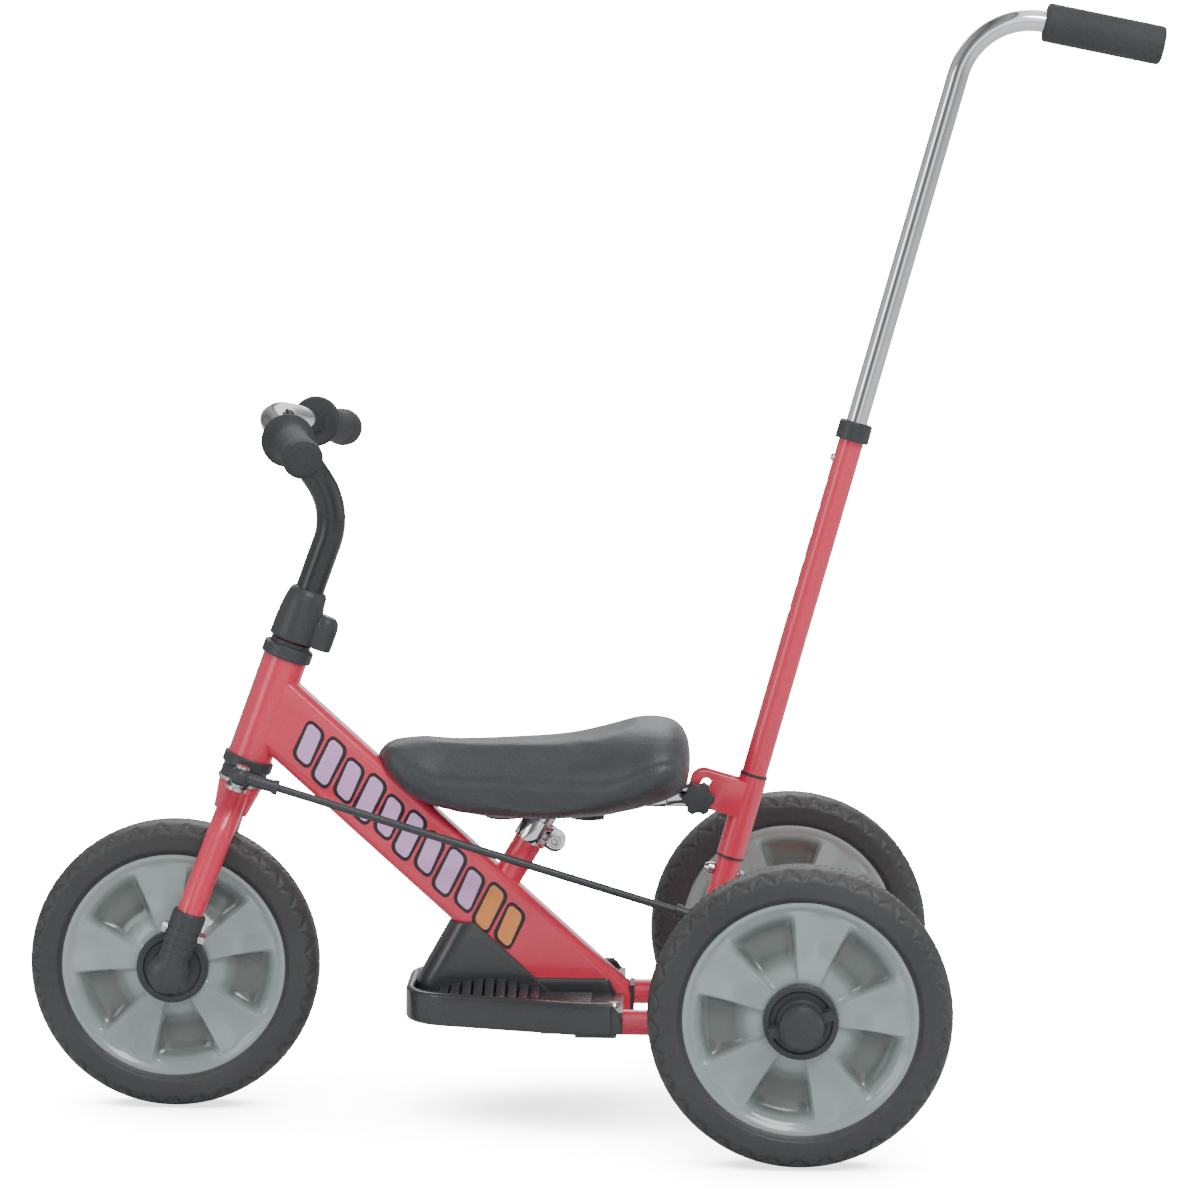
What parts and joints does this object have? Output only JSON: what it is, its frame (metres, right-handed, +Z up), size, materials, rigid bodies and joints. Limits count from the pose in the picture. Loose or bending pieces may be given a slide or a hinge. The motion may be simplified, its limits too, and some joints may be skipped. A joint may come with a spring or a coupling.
{
  "type": "children's tricycle",
  "caption": "Child's tricycle with a steering push rod: steel frame, footrest, padded saddle, moulded wheels and a linkage that turns the fork with the rod.",
  "frame": {"origin": "on the floor, midway between the front tyre and the end of the push grip, in the middle plane of the tricycle", "axes": "+X towards the rear of the tricycle, +Y towards the rider's right hand, +Z up"},
  "size_m": [0.8483, 0.458, 0.8395],
  "materials": {
    "red_paint": "gloss",
    "black_paint": "satin",
    "black_plastic": "satin",
    "gloss_black": "gloss",
    "rim_grey": "gloss",
    "tyre": "matte",
    "grip_rubber": "matte",
    "saddle_cover": "matte",
    "chrome": "mirror",
    "steel": "satin"
  },
  "bodies": {
    "frame": {"head_tube": "red_paint", "upper_cup": "black_plastic", "lower_cup": "black_plastic", "main_beam": "red_paint", "beam_end_cap": "black_plastic", "seat_tube": "red_paint", "left_rail": "red_paint", "right_rail": "red_paint", "cross_tubes": "red_paint", "axle_tube": "red_paint", "rear_axle": "steel", "footrest": "gloss_black", "footrest_screws": "steel", "seat_clamp": "chrome", "clamp_bolt": "steel", "push_sleeve": "red_paint", "sleeve_bushes": "black_plastic", "seat_bracket": "red_paint", "foot_pivot": "black_paint"},
    "seat": {"saddle": "saddle_cover", "saddle_base": "black_plastic", "seat_bar": "chrome", "seat_post": "chrome"},
    "front_saddle_knob": {"front_saddle_knob": "black_plastic"},
    "rear_saddle_knob": {"rear_saddle_knob": "black_plastic"},
    "star_knob": {"star_knob": "black_plastic"},
    "steering": {"fork_steerer": "red_paint", "left_fork_leg": "red_paint", "right_fork_leg": "red_paint", "fork_boots": "black_plastic", "boot_bolts": "steel", "front_axle": "steel", "steering_arm": "steel", "crown_race": "black_plastic", "stem": "black_paint", "stem_cover": "black_plastic", "handlebar": "chrome", "left_grip": "grip_rubber", "right_grip": "grip_rubber"},
    "front_wheel": {"front_rim": "rim_grey", "front_tyre": "tyre", "front_hub_caps": "black_plastic"},
    "rear_left_wheel": {"rear_left_rim": "rim_grey", "rear_left_tyre": "tyre", "rear_left_cap": "black_plastic"},
    "rear_right_wheel": {"rear_right_rim": "rim_grey", "rear_right_tyre": "tyre", "rear_right_cap": "black_plastic"},
    "link": {"link_rod": "black_plastic", "rod_ends": "black_plastic"},
    "push_lower": {"push_tube": "red_paint", "push_shaft": "steel", "push_foot": "red_paint", "crank_arm": "black_paint", "push_bolt": "steel", "push_collar": "black_plastic"},
    "push_upper": {"push_pole": "chrome", "push_grip": "grip_rubber"},
    "snap_button": {"snap_button": "steel"}
  },
  "joints": [
    {"name": "steer", "type": "hinge", "parent": "frame", "child": "steering", "pos_m": [-0.31296, 0, 0.11], "axis": [0.3355, 0, 0.9421], "range_deg": [-35, 35]},
    {"name": "front_wheel_spin", "type": "hinge", "parent": "steering", "child": "front_wheel", "pos_m": [-0.31296, 0, 0.11], "axis": [0, 1, 0], "continuous": true},
    {"name": "rear_left_wheel_spin", "type": "hinge", "parent": "frame", "child": "rear_left_wheel", "pos_m": [0.15804, -0.177, 0.11], "axis": [0, 1, 0], "continuous": true},
    {"name": "rear_right_wheel_spin", "type": "hinge", "parent": "frame", "child": "rear_right_wheel", "pos_m": [0.15804, 0.177, 0.11], "axis": [0, 1, 0], "continuous": true},
    {"name": "push_rod_turn", "type": "hinge", "parent": "frame", "child": "push_lower", "pos_m": [0.09664, 0, 0.1524], "axis": [0.2656, 0, 0.9641], "range_deg": [-35, 35]},
    {"name": "link_swing", "type": "hinge", "parent": "steering", "child": "link", "pos_m": [-0.25989, -0.04, 0.25903], "axis": [0.3355, 0, 0.9421], "range_deg": [-35, 35]},
    {"name": "push_rod_height", "type": "slide", "parent": "push_lower", "child": "push_upper", "axis": [0.2656, 0, 0.9641], "range_m": [-0.12, 0]},
    {"name": "snap_button_press", "type": "slide", "parent": "push_upper", "child": "snap_button", "axis": [0.9641, 0, -0.2656], "range_m": [0, 0.004], "stiffness_N_per_m": 800},
    {"name": "seat_height", "type": "slide", "parent": "frame", "child": "seat", "axis": [0.5075, 0, 0.8616], "range_m": [0, 0.012]},
    {"name": "front_saddle_knob_turn", "type": "hinge", "parent": "seat", "child": "front_saddle_knob", "pos_m": [-0.06396, 0, 0.23], "axis": [0, 0, 1], "continuous": true},
    {"name": "rear_saddle_knob_turn", "type": "hinge", "parent": "seat", "child": "rear_saddle_knob", "pos_m": [0.00054, 0, 0.23], "axis": [0, 0, 1], "continuous": true},
    {"name": "star_knob_turn", "type": "hinge", "parent": "seat", "child": "star_knob", "pos_m": [0.08384, 0, 0.243], "axis": [0, -1, 0], "continuous": true}
  ],
  "couplings": [
    {"joint": "push_rod_turn", "follows": "steer", "ratio": 1},
    {"joint": "link_swing", "follows": "steer", "ratio": -1}
  ]
}
